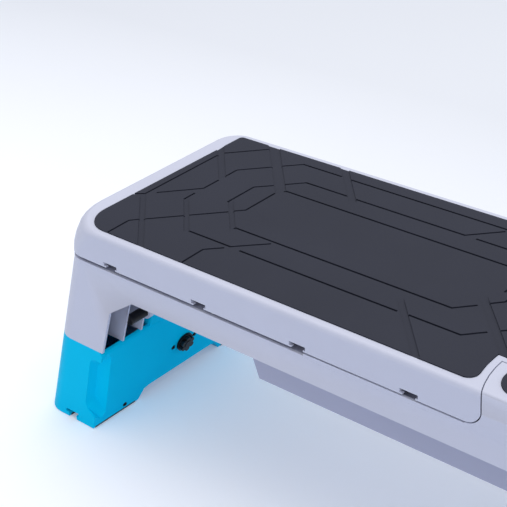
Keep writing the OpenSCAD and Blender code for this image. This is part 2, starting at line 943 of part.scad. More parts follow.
module hinge_pin_caps() {
    color(black)
        both_sides()
            translate([hinge_x, pin_half, hinge_z])
                rotate([-90, 0, 0])
                    cylinder(d = hinge_pin_d + 2, h = pin_cap_t);
}

// Sheet-metal ears that carry the prop under the lid
module prop_brackets() {
    p = prop_hinge(0);
    color(metal)
        both_sides()
            difference() {
                union() {
                    translate([p[0] - bracket_hl, prop_y - bracket_gap / 2 - bracket_t, bracket_z - bracket_t])
                        cube([2 * bracket_hl, bracket_gap + 2 * bracket_t, bracket_t]);
                    for (s = [-1, 1])
                        across(prop_y + s * (bracket_gap + bracket_t) / 2 - bracket_t / 2,
                               prop_y + s * (bracket_gap + bracket_t) / 2 + bracket_t / 2) {
                            translate([p[0], p[1]]) circle(bracket_ear_r);
                            translate([p[0] - bracket_ear_r, p[1]])
                                square([2 * bracket_ear_r, bracket_z - p[1]]);
                        }
                }
                translate([p[0], prop_y, p[1]])
                    rotate([90, 0, 0])
                        cylinder(d = prop_pin_d, h = 2 * bracket_gap, center = true);
                for (s = [-1, 1])
                    translate([p[0] + s * bracket_screw_x, prop_y, bracket_z - bracket_t - over])
                        cylinder(d = screw_hole_d, h = bracket_t + 2 * over);
            }
}

module bracket_screw_places(z) {
    p = prop_hinge(0);
    both_sides()
        for (s = [-1, 1])
            translate([p[0] + s * bracket_screw_x, prop_y, z]) children();
}

module bracket_screws() {
    color(metal)
        bracket_screw_places(bracket_z - bracket_t)
            mirror([0, 0, 1]) screw(bracket_t + touch + thread_l - over);
}

module prop_pins() {
    p = prop_hinge(0);
    color(metal)
        both_sides()
            translate([p[0], prop_y, p[1]])
                rotate([90, 0, 0])
                    cylinder(d = prop_pin_d, h = bracket_gap + 2 * (bracket_t + pin_proud), center = true);
}

// Bent steel bar: two arms with eyes, joined by a cross bar at the foot
module prop_frame() {
    p = prop_hinge(0);
    f = prop_foot(0);
    color(metal)
        difference() {
            union() {
                both_sides() {
                    translate([f[0] + bend_r, prop_y, f[1]])
                        rotate([0, 90, 0])
                            cylinder(d = prop_d, h = p[0] - f[0] - bend_r - prop_pin_d / 2);
                    translate([f[0] + bend_r, prop_y - bend_r, f[1]])
                        rotate(90)
                            rotate_extrude(angle = 90) translate([bend_r, 0]) circle(d = prop_d);
                    translate([p[0], prop_y, p[1]])
                        rotate([90, 0, 0])
                            cylinder(d = prop_pin_d + 2 * eye_wall, h = eye_w, center = true);
                }
                translate([f[0], 0, f[1]])
                    rotate([90, 0, 0])
                        cylinder(d = prop_d, h = 2 * (prop_y - bend_r), center = true);
            }
            translate([p[0], 0, p[1]])
                rotate([90, 0, 0])
                    cylinder(d = prop_pin_d + 2 * run_fit, h = 4 * prop_y, center = true);
        }
}

module prop_sleeve() {
    f = prop_foot(0);
    color(black)
        translate([f[0], 0, f[1]])
            rotate([90, 0, 0])
                difference() {
                    cylinder(d = prop_d + 2 * sleeve_t, h = sleeve_l, center = true);
                    cylinder(d = prop_d, h = sleeve_l + over, center = true);
                }
}

module hinge_rod() {
    color(metal)
        translate([-leg_x, 0, leg_z])
            rotate([90, 0, 0])
                cylinder(d = rod_d, h = 2 * rod_half, center = true);
}

module rod_end_caps() {
    color(black)
        for (s = [-1, 1])
            both_sides()
                translate([s * leg_x, rod_half, leg_z])
                    rotate([-90, 0, 0])
                        cylinder(d = rod_cap_d, h = rod_cap_t);
}

module latch_bars() {
    color(black)
        cross_bar(rib_in_y - latch_boss_t / 2 - latch_proud, rib_out_y - rib_t / 2 - touch,
                  -latch_x, latch_z, latch_d);
}

module low_stance_pads() {
    color(black)
        pad_posts(low_pad_d, foot_z - low_pad_proud, foot_z + low_pad_h - low_pad_proud);
}

// Outline of a standing left leg, seen from the front, drawn in by an inset
module leg_outline(inset) {
    k = inset / cos(inner_lean);
    r = max(1, shoulder_r - inset);
    tilt = 90 - inner_lean;
    corner = [-foot_in_x - k, leg_h];
    difference() {
        polygon([
            [-half_x(0) - corner_r, 0], [-floor_in_x - k, 0],
            corner, [-half_x(0) - corner_r, leg_h]
        ]);
        shoulder_cut(corner, r, tilt);
    }
}

// Takes the sharp upper corner off and leaves a round one
module shoulder_cut(corner, r, tilt) {
    d = r / tan(tilt / 2);
    difference() {
        polygon([
            corner + [over, over],
            corner - [d, 0],
            corner - [d, r],
            corner - d * [sin(inner_lean), cos(inner_lean)],
            corner - d * [sin(inner_lean), cos(inner_lean)] + [over, 0]
        ]);
        translate(corner - [d, r]) circle(r);
    }
}

// Space under the leg between its rubber feet
module leg_arch(rise, spread) {
    translate([-half_x(0) - 40, 0, 0])
        rotate([90, 0, 90])
            linear_extrude(half_x(0))
                for (s = [-1, 1])
                    polygon([
                        [0, -over], [s * (arch_low_hw + spread), -over],
                        [s * (arch_top_hw + spread + arch_round[0]), arch_h + rise - arch_round[1]],
                        [s * (arch_top_hw + spread), arch_h + rise], [0, arch_h + rise]
                    ]);
}

// Outline of the hand scoop on the leg's front face, drawn out by a distance
module scoop_front(grow) {
    z1 = leg_h - scoop_drop + grow;
    z0 = scoop_low - grow;
    w = scoop_w + grow;
    top_r = 10;
    low_r = 24;
    polygon([
        [on_inner(z1) + scoop_out, z1],
        [on_inner(z1) - w + 0.7 * top_r, z1],
        [on_inner(z1 - 0.3 * top_r) - w + 0.15 * top_r, z1 - 0.3 * top_r],
        [on_inner(z1 - top_r) - w, z1 - top_r],
        [on_inner(z0 + low_r) - w, z0 + low_r],
        [on_inner(z0 + low_r / 2) - w + low_r / 4, z0 + low_r / 2],
        [on_inner(z0) - w + 0.85 * low_r, z0 + 0.08 * low_r],
        [on_inner(z0), z0],
        [on_inner(z0) + scoop_out, z0]
    ]);
}

// Hand scoop in the leg's front inner corner, drawn out by a distance: a steep left wall down to the
// deepest line, and a slanting face from there past the inner face
module scoop(grow) {
    y_face = half_y(leg_h);
    y_deep = y_face - scoop_deep - grow;
    y_out = y_deep - (scoop_side - scoop_deep) * (1 + scoop_out / scoop_line);
    x_deep = on_inner(0) - scoop_line - grow;
    z_deep = [scoop_low + 28, leg_h - scoop_drop - 20];
    flare = scoop_out / scoop_line;
    z_out = [scoop_low - 28 * flare - grow, leg_h - scoop_drop + 20 * flare + grow];
    both_sides() {
        across(-y_face - 3 * wall, -y_face) scoop_front(grow);
        hull() {
            across(-y_face - thin, -y_face) scoop_front(grow);
            across(-y_deep - thin, -y_deep)
                polygon([
                    [x_deep + z_deep[0] * tan(inner_lean), z_deep[0]],
                    [x_deep + z_deep[1] * tan(inner_lean), z_deep[1]],
                    [x_deep + z_deep[1] * tan(inner_lean) + over, z_deep[1]]
                ]);
            across(-y_out - thin, -y_out)
                polygon([
                    [on_inner(z_out[0]) + scoop_out - over, z_out[0]],
                    [on_inner(z_out[0]) + scoop_out, z_out[0]],
                    [on_inner(z_out[1]) + scoop_out, z_out[1]]
                ]);
        }
    }
}

module cord_notch() {
    x = -half_x(0) + notch_in;
    both_sides()
        across(-deck_w, -half_y(0) + notch_deep) {
            translate([x - notch_w / 2, notch_stem_h]) square([notch_w, notch_h]);
            translate([x - notch_stem_w / 2, -over]) square([notch_stem_w, notch_stem_h + 2 * over]);
        }
}

module leg_mass(inset, z0, z1) {
    intersection() {
        outside(0, kink_z, inset);
        across(-deck_w, deck_w) leg_outline(inset);
        translate([-half_x(0) - over, -deck_w, z0]) cube([half_x(0), 2 * deck_w, z1 - z0]);
    }
}

function on_inner(z) = -floor_in_x + z * tan(inner_lean);
knob_out = [cos(inner_lean), 0, -sin(inner_lean)];

// Places a child on the leg's inner face at a distance from the middle and a height.
// The child's Z then points out of the face.
module on_face(y, z, lift) {
    translate([on_inner(z), y, z] + lift * knob_out)
        rotate([0, 90 + inner_lean, 0])
            children();
}

module leg_shell() {
    color(blue)
        difference() {
            union() {
                difference() {
                    leg_mass(0, shell_lift, leg_h);
                    difference() {
                        leg_mass(wall, pad_t + shell_floor, leg_h + over);
                        leg_arch(wall, wall);
                        scoop(wall);
                    }
                }
                hinge_hood();
            }
            hood_room();
            leg_arch(0, 0);
            scoop(0);
            cord_notch();
            pad_space(pad_play);
            leg_rod_bore();
            on_face(0, knob_z, -2 * wall) cylinder(d = stem_d + 2 * run_fit, h = 3 * wall);
            face_screw_places(plate_screw_y, knob_z) screw_recess(screw_hole_d);
            face_screw_places(leg_screw_y, leg_screw_z) screw_recess(screw_d);
        }
}

// Room for the hinge block where the shell's upper edge would be in its way
module hood_room() {
    intersection() {
        across(-yoke_hw + wall, yoke_hw - wall) yoke_outline(wall, 0);
        translate([-half_x(0), -deck_w, leg_h - 2 * shoulder_r]) cube([half_x(0), 2 * deck_w, rim_z]);
    }
}

// Places of two screws in the leg's inner face, at their heads' sunk seats
module face_screw_places(y, z) {
    for (s = [-1, 1])
        on_face(s * y, z, -head_sunk) children();
}

module screw_recess(d) {
    translate([0, 0, -2 * wall]) cylinder(d = d, h = 3 * wall);
    cylinder(d = head_d + 2 * head_play, h = wall);
}

// Raised part of the shell: its inner face and two cheeks go up behind the rail, round the hinge rod
module hinge_hood() {
    intersection() {
        difference() {
            across(-yoke_hw, yoke_hw) yoke_outline(0, 0);
            across(-yoke_hw + wall, yoke_hw - wall) yoke_outline(wall, 60);
        }
        translate([-half_x(0), -deck_w, leg_h - wall]) cube([half_x(0), 2 * deck_w, rim_z]);
    }
}

// The hinge block's outline, drawn in by an inset and stretched towards the end wall
module yoke_outline(inset, stretch) {
    r = yoke_round - inset;
    x_back = -half_x(leg_h) + yoke_back + inset - stretch;
    translate([-leg_x, leg_z]) circle(r);
    polygon([
        [-leg_x + r * cos(inner_lean), leg_z - r * sin(inner_lean)],
        [-leg_x, leg_z + (stretch > 0 ? r : 0)],
        [-leg_x - r - stretch, leg_z + (stretch > 0 ? r : 0)],
        [x_back, leg_h],
        [x_back, yoke_foot_z + inset],
        [on_inner(yoke_foot_z + inset) - inset / cos(inner_lean), yoke_foot_z + inset]
    ]);
}

module leg_rod_bore() {
    translate([-leg_x, 0, leg_z])
        rotate([90, 0, 0])
            cylinder(d = rod_d + 2 * run_fit, h = 4 * yoke_hw, center = true);
}

// Hinge block of a leg: a ribbed box inside the shell that turns on the hinge rod
module leg_yoke() {
    inset = wall + yoke_gap;
    half = yoke_hw - inset;
    bay = (2 * half - yoke_wall) / yoke_bays;
    color(dark_grey)
        difference() {
            union() {
                difference() {
                    across(-half, half) yoke_outline(inset, 0);
                    for (i = [0:yoke_bays - 1])
                        let (y = -half + yoke_wall + i * bay)
                            across(y, y + bay - yoke_wall) yoke_outline(inset + yoke_wall, 60);
                }
                translate([-leg_x, 0, leg_z])
                    rotate([90, 0, 0])
                        cylinder(r = yoke_round - inset, h = 2 * half, center = true);
            }
            leg_rod_bore();
        }
}

// Space of a leg's rubber feet: open at the inner face, and behind the walls on the other sides
module pad_space(grow) {
    intersection() {
        outside(0, kink_z, wall - grow);
        translate([-half_x(0), -deck_w, -over]) cube([half_x(0), 2 * deck_w, pad_t + over + grow]);
        both_sides()
            translate([-half_x(0), arch_low_hw + pad_in - grow, -over])
                cube([half_x(0), deck_w, pad_t + 2 * over]);
    }
}

module leg_feet() {
    color(black)
        difference() {
            intersection() {
                pad_space(0);
                across(-deck_w, deck_w) leg_outline(0);
            }
            cord_notch();
        }
}

module leg_screws() {
    color(black)
        face_screw_places(leg_screw_y, leg_screw_z) screw(thread_l);
}

// Guide plate inside the leg's face, through which the knob's stem slides
module knob_plate() {
    color(black)
        on_face(0, knob_z, -wall - touch - plate_t)
            difference() {
                linear_extrude(plate_t) {
                    square([2 * plate_r, 2 * plate_screw_y], center = true);
                    for (s = [-1, 1])
                        translate([0, s * plate_screw_y]) circle(plate_r);
                }
                translate([0, 0, -over]) cylinder(d = stem_d + 2 * run_fit, h = plate_t + 2 * over);
                for (s = [-1, 1])
                    translate([0, s * plate_screw_y, -over]) cylinder(d = screw_d, h = plate_t + 2 * over);
            }
}

module plate_screws() {
    color(black)
        face_screw_places(plate_screw_y, knob_z) screw(thread_l);
}

// Grip of the knob: a disc, the lobes and a raised middle
module knob() {
    lobe_r = knob_d / 6;
    top = disc_t + knob_l;
    color(black)
        on_face(0, knob_z, knob_seat)
            difference() {
                union() {
                    cylinder(d = knob_disc_d, h = disc_t);
                    translate([0, 0, disc_t - thin])
                        linear_extrude(knob_l - cap_h + thin) {
                            circle(knob_d / 2 - lobe_r);
                            for (i = [0:knob_n - 1])
                                rotate(i * 360 / knob_n)
                                    translate([knob_d / 2 - lobe_r, 0]) circle(lobe_r);
                        }
                    translate([0, 0, top - cap_h - thin])
                        cylinder(d = knob_d / 2, h = cap_h + thin);
                }
                translate([0, 0, -over]) cylinder(d = stem_d, h = stem_grip + over);
            }
}

module knob_stem() {
    color(metal)
        on_face(0, knob_z, -stem_in) {
            cylinder(d = stem_d, h = stem_in + knob_seat + stem_grip);
            cylinder(d = collar_d, h = collar_t);
        }
}

// Spring between the collar on the stem and the leg's inner wall
module knob_spring() {
    r = stem_d / 2 + 1.6;
    l = stem_in - wall - touch - plate_t - collar_t - 2 * spring_play;
    sides = 6;
    per_turn = 8;
    n = spring_turns * per_turn;
    z0 = -stem_in + collar_t + spring_play + spring_d / 2;
    rise = (l - spring_d) / n;
    points = [for (i = [0:n], j = [0:sides - 1])
        let (a = i * 360 / per_turn, b = j * 360 / sides, q = r + spring_d / 2 * cos(b))
            [q * cos(a), q * sin(a), z0 + i * rise + spring_d / 2 * sin(b)]];
    tube = [for (i = [0:n - 1], j = [0:sides - 1])
        let (k = (j + 1) % sides)
            [i * sides + j, (i + 1) * sides + j, (i + 1) * sides + k, i * sides + k]];
    caps = [[for (j = [0:sides - 1]) j], [for (j = [sides - 1:-1:0]) n * sides + j]];
    echo(spring_gap = (l - spring_d) / spring_turns - spring_d);
    color(metal)
        on_face(0, knob_z, 0)
            polyhedron(points, concat(tube, caps));
}

module right() {
    mirror([1, 0, 0]) children();
}

echo(leg_hinge = [leg_x, leg_z], lid_hinge = [hinge_x, hinge_z], prop = prop_hinge(0), knob = on_inner(knob_z));
echo(rim = rim_z, mat = mat_z + mat_t, low = foot_z - low_pad_proud, length = 2 * half_x(0), width = 2 * half_y(0));

base_frame();
deck_panel();
panel_screws();
storage_tub();
tub_screws();
prop_rack();
rack_screws();
seat_mat();
backrest_hinge_pin();
hinge_pin_caps();
hinge_rod();  // left_hinge_rod
right() hinge_rod();  // right_hinge_rod
rod_end_caps();
latch_bars();  // left_latch_bars
right() latch_bars();  // right_latch_bars
low_stance_pads();
backrest_lid();
backrest_mat();
lid_bumpers();
prop_brackets();
prop_pins();
bracket_screws();
prop_frame();
prop_sleeve();
leg_shell();  // left_leg_shell
leg_yoke();  // left_leg_yoke
leg_feet();  // left_leg_feet
leg_screws();  // left_leg_screws
knob_plate();  // left_knob_plate
plate_screws();  // left_plate_screws
knob_spring();  // left_knob_spring
right() leg_shell();  // right_leg_shell
right() leg_yoke();  // right_leg_yoke
right() leg_feet();  // right_leg_feet
right() leg_screws();  // right_leg_screws
right() knob_plate();  // right_knob_plate
right() plate_screws();  // right_plate_screws
right() knob_spring();  // right_knob_spring
knob();  // left_knob
knob_stem();  // left_knob_stem
right() knob();  // right_knob
right() knob_stem();  // right_knob_stem
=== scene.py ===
"""Looks of a workout deck: a low step on folding legs, with a tread mat and a lid that becomes a backrest."""
import json
import math

import bmesh
import bpy
from mathutils import Matrix, Vector


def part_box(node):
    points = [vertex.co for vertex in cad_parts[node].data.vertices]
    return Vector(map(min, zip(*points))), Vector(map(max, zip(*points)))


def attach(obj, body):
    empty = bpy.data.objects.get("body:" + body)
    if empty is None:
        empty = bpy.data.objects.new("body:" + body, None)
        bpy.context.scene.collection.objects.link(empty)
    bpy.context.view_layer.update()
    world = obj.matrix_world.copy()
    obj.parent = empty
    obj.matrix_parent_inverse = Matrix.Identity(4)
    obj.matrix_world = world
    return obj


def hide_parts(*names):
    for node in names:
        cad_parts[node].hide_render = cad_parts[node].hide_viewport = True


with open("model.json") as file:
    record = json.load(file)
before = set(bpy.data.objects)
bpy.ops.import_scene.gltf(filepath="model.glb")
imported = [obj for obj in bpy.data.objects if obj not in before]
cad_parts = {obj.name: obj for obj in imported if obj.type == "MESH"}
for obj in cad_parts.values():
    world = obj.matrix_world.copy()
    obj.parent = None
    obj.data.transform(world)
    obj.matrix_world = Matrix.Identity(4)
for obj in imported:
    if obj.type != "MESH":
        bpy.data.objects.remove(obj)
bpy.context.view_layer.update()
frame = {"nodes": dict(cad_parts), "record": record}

MM = 0.001
# Mesh work: corners nearer than MERGE are one, and faces within FLAT of each other are one face.
# Edges past CORNER are rounded, and edges past SHARP shade as sharp.
MERGE = 0.002 * MM
FLAT = math.radians(0.4)
CORNER = math.radians(28)
SHARP = math.radians(40)

# Camera: its place and two of its axes in the deck's frame, in metres
CAMERA_AT = Vector((0.8718, -1.2052, 1.2354))
CAMERA_RIGHT = Vector((0.73693, 0.67153, -0.07732))
CAMERA_UP = Vector((-0.28111, 0.40848, 0.8684))
LENS_MM = 98.34
SENSOR_MM = 36.0
CLIP_M = 50

# Colours as the eye sees them, sRGB
GREY = "#CFD1DE"
GREY_INNER = "#B4B6C9"
TREAD = "#2B2D38"
BLUE = "#00CFF6"
RUBBER = "#17181B"
BLACK = "#101115"
SCREW_BLACK = "#26272B"
ZINC = "#B4B7BC"
SPRING = "#9A9DA3"
FLOOR = "#FFFEFB"
FLOOR_BELOW = "#DAE3F4"
# The next colour is painted light: the floor's bluish glow to the camera, which tints its shadows blue
FLOOR_GLOW_TINT = "#DCE9FF"
SKY = "#EDF0FB"


def colour(hex_code):
    """sRGB hex code as linear RGBA."""
    parts = [int(hex_code[i:i + 2], 16) / 255 for i in (1, 3, 5)]
    linear = [p / 12.92 if p <= 0.04045 else ((p + 0.055) / 1.055) ** 2.4 for p in parts]
    return (*linear, 1.0)


def add(tree, kind, inputs=None, **settings):
    """Adds a node. Inputs are values, or sockets that are linked."""
    node = tree.nodes.new(kind)
    for key, value in settings.items():
        setattr(node, key, value)
    for key, value in (inputs or {}).items():
        if isinstance(value, bpy.types.NodeSocket):
            tree.links.new(value, node.inputs[key])
        else:
            node.inputs[key].default_value = value
    return node


def new_material(name):
    """An empty material with its shader and output."""
    material = bpy.data.materials.new(name)
    material.use_nodes = True
    tree = material.node_tree
    tree.nodes.clear()
    shader = add(tree, "ShaderNodeBsdfPrincipled")
    add(tree, "ShaderNodeOutputMaterial", {"Surface": shader.outputs[0]})
    return material, tree, shader


def spread(tree, noise, low, high):
    """The middle band of a noise as a value from low to high."""
    band = add(tree, "ShaderNodeMapRange", {"Value": noise.outputs["Fac"], "From Min": 0.3, "From Max": 0.7,
                                           "To Min": low, "To Max": high})
    return band.outputs["Result"]


def moulded(name, tone, roughness, grain_mm, grain_deep, cloud=0.05, scuff=0.06, shine=0.5):
    """Moulded plastic or rubber: an even colour with faint clouds, a spark-eroded grain and uneven gloss."""
    material, tree, shader = new_material(name)
    place = add(tree, "ShaderNodeTexCoord").outputs["Object"]
    clouds = add(tree, "ShaderNodeTexNoise", {"Vector": place, "Scale": 9.0, "Detail": 3.0})
    grain = add(tree, "ShaderNodeTexNoise", {"Vector": place, "Scale": 1 / (grain_mm * MM), "Detail": 2.0})
    shade = spread(tree, clouds, 1 - cloud, 1 + cloud)
    tint = add(tree, "ShaderNodeHueSaturation", {"Color": colour(tone), "Value": shade})
    gloss = spread(tree, grain, roughness - scuff, roughness + scuff)
    bump = add(tree, "ShaderNodeBump", {"Height": grain.outputs["Fac"], "Strength": 0.6,
                                        "Distance": grain_deep * MM})
    tree.links.new(tint.outputs["Color"], shader.inputs["Base Color"])
    tree.links.new(gloss, shader.inputs["Roughness"])
    tree.links.new(bump.outputs["Normal"], shader.inputs["Normal"])
    shader.inputs["Specular IOR Level"].default_value = shine
    return material


def grey_abs():
    """ABS, moulded in an eroded tool: satin, pale lavender grey, with a fine even grain."""
    return moulded("grey_moulded_abs", GREY, 0.42, 1.1, 0.03, cloud=0.015, shine=0.4)


def grey_inner():
    """Polypropylene, moulded: the same grey a shade darker and duller, as inner pieces are."""
    return moulded("inner_moulded_polypropylene", GREY_INNER, 0.5, 1.6, 0.04, cloud=0.02, shine=0.35)


def blue_abs():
    """ABS, moulded: saturated cyan blue with a satin skin that shows soft lights."""
    return moulded("blue_moulded_abs", BLUE, 0.42, 1.1, 0.025, cloud=0.02, shine=0.02)


def tread_rubber():
    """TPE tread, moulded: charcoal and dull, with a dry grain that lightens where the view grazes it."""
    return moulded("charcoal_tread_rubber", TREAD, 0.55, 1.3, 0.05, cloud=0.05, scuff=0.06, shine=0.25)


def foot_rubber():
    """Black rubber, pressed: the darkest piece, nearly without gloss."""
    return moulded("black_foot_rubber", RUBBER, 0.7, 1.2, 0.08)


def black_nylon():
    """Nylon, moulded: near black with a satin sheen, on knobs, plates and latch bars."""
    return moulded("black_nylon", BLACK, 0.42, 0.9, 0.02, shine=0.3)


def steel(name, tone, roughness, brushed_mm, brushed_deep=0.02, scuff=0.07):
    """Plated steel: metal with faint drawn lines along X that stretch the light."""
    material, tree, shader = new_material(name)
    place = add(tree, "ShaderNodeTexCoord").outputs["Object"]
    stretched = add(tree, "ShaderNodeMapping", {"Vector": place, "Scale": (0.06, 1.0, 1.0)})
    lines = add(tree, "ShaderNodeTexNoise", {"Vector": stretched.outputs[0], "Scale": 1 / (brushed_mm * MM),
                                            "Detail": 3.0})
    gloss = spread(tree, lines, roughness - scuff, roughness + scuff)
    bump = add(tree, "ShaderNodeBump", {"Height": lines.outputs["Fac"], "Strength": 0.4,
                                        "Distance": brushed_deep * MM})
    shader.inputs["Base Color"].default_value = colour(tone)
    shader.inputs["Metallic"].default_value = 1.0
    tree.links.new(gloss, shader.inputs["Roughness"])
    tree.links.new(bump.outputs["Normal"], shader.inputs["Normal"])
    return material


FINISH = {
    "grey_shell": grey_abs(),
    "dark_grey_inner": grey_inner(),
    "tread_rubber": tread_rubber(),
    "blue_shell": blue_abs(),
    "foot_rubber": foot_rubber(),
    "black_plastic": black_nylon(),
    "black_screw": steel("black_oxide_steel", SCREW_BLACK, 0.4, 0.8),
    "zinc_steel": steel("zinc_plated_steel", ZINC, 0.34, 0.8),
    "spring_steel": steel("bright_spring_wire", SPRING, 0.28, 0.5),
}
SLOT_OF = {part["node"]: part["material_slot"] for part in frame["record"]["subparts"]}
BODY_OF = {node: body for body, nodes in frame["record"]["behaviour"]["bodies"].items() for node in nodes}


def plain_mesh(obj, name):
    """The object with its modifiers applied, as a new object with a plain mesh."""
    bpy.context.view_layer.update()
    evaluated = obj.evaluated_get(bpy.context.evaluated_depsgraph_get())
    mesh = bpy.data.meshes.new_from_object(evaluated)
    mesh.name = name
    bpy.data.objects.remove(obj)
    result = bpy.data.objects.new(name, mesh)
    bpy.context.scene.collection.objects.link(result)
    return result


def join_flats(mesh):
    """Merges a mesh's corners and joins its flat faces."""
    work = bmesh.new()
    work.from_mesh(mesh)
    bmesh.ops.remove_doubles(work, verts=work.verts, dist=MERGE)
    bmesh.ops.dissolve_limit(work, angle_limit=FLAT, verts=work.verts, edges=work.edges,
                             use_dissolve_boundaries=False)
    work.to_mesh(mesh)
    work.free()


def copy_of(node, name):
    """A copy of a CAD node with its corners merged and its flat faces joined."""
    mesh = frame["nodes"][node].data.copy()
    join_flats(mesh)
    mesh.materials.clear()
    obj = bpy.data.objects.new(name, mesh)
    bpy.context.scene.collection.objects.link(obj)
    return obj


def soften(obj, name, width_mm, segments=3):
    """Rounds the sharp edges of a piece and smooths its shading."""
    bevel = obj.modifiers.new("edges", "BEVEL")
    bevel.width = width_mm * MM
    bevel.segments = segments
    bevel.limit_method = "ANGLE"
    bevel.angle_limit = CORNER
    bevel.use_clamp_overlap = True
    result = plain_mesh(obj, name)
    result.data.shade_smooth()
    result.data.set_sharp_from_angle(angle=SHARP)
    flats = result.modifiers.new("flats", "WEIGHTED_NORMAL")
    flats.mode = "FACE_AREA"
    flats.weight = 100
    flats.keep_sharp = True
    return plain_mesh(result, name)


def stand_for(obj, node):
    """The piece takes the place, finish and body of a CAD node."""
    obj.data.materials.clear()
    obj.data.materials.append(FINISH[SLOT_OF[node]])
    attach(obj, BODY_OF[node])
    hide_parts(node)


def dress_cad_nodes():
    """Gives every CAD node the finish of its slot."""
    for name, obj in frame["nodes"].items():
        obj.data.materials.clear()
        obj.data.materials.append(FINISH[SLOT_OF[name]])


# How wide the edges of each moulding are rounded, in millimetres
EDGE_MM = {
    "base_frame": 0.9,
    "backrest_lid": 0.9,
    "storage_tub": 1.2,
    "deck_panel": 0.6,
    "prop_rack": 0.8,
    "left_leg_shell": 1.6,
    "right_leg_shell": 1.6,
    "left_leg_feet": 0.8,
    "right_leg_feet": 0.8,
    "left_leg_yoke": 0.8,
    "right_leg_yoke": 0.8,
    "left_knob": 0.9,
    "right_knob": 0.9,
    "left_knob_plate": 0.5,
    "right_knob_plate": 0.5,
    "prop_brackets": 0.3,
    "lid_bumpers": 0.8,
    "low_stance_pads": 0.6,
    "left_latch_bars": 0.8,
    "right_latch_bars": 0.8,
}

# Screws: which way their heads point, by node
DOWN = (0, 0, -1)
LEAN = math.radians(17)
FACE_OUT = {"left": (math.cos(LEAN), 0, -math.sin(LEAN)), "right": (-math.cos(LEAN), 0, -math.sin(LEAN))}
SCREW_OUT = {
    "panel_screws": (0, 0, 1),
    "tub_screws": DOWN,
    "rack_screws": DOWN,
    "bracket_screws": DOWN,
    "left_leg_screws": FACE_OUT["left"],
    "left_plate_screws": FACE_OUT["left"],
    "right_leg_screws": FACE_OUT["right"],
    "right_plate_screws": FACE_OUT["right"],
}
# Sizes in millimetres: the head and how far it stays inside its CAD solid, the shank, the two bars of the cross
# recess, and the block that takes away the lower half of the dome
HEAD_R = 4.0
HEAD_H = 2.35
HEAD_IN = 0.05
SHANK_R = 2.0
RECESS = (4.4, 0.9, 2.2)
LOWER_BLOCK = 12


def screw_seats(node, out):
    """Where the heads of a node's screws sit, and how long the shanks are, from its separate solids."""
    work = bmesh.new()
    work.from_mesh(frame["nodes"][node].data)
    bmesh.ops.remove_doubles(work, verts=work.verts, dist=MERGE)
    left = set(work.verts)
    seats = []
    length = 0.0
    while left:
        piece = {left.pop()}
        edge = list(piece)
        while edge:
            near = {v for e in edge.pop().link_edges for v in e.verts} - piece
            piece |= near
            edge += near
        left -= piece
        heights = [v.co.dot(out) for v in piece]
        middle = sum((v.co for v in piece), Vector()) / len(piece)
        seat = max(heights) - (HEAD_H + HEAD_IN) * MM
        seats.append(middle + (seat - middle.dot(out)) * out)
        length = seat - min(heights)
    work.free()
    return seats, length


def shape(tree, kind, place=(0, 0, 0), scale=(1, 1, 1), turn=(0, 0, 0), **sizes):
    """A mesh primitive of a geometry tree, moved to its place."""
    made = add(tree, kind, {key.replace("_", " "): value for key, value in sizes.items()})
    moved = add(tree, "GeometryNodeTransform", {"Geometry": made.outputs["Mesh"], "Translation": place,
                                               "Scale": scale, "Rotation": turn})
    return moved.outputs["Geometry"]


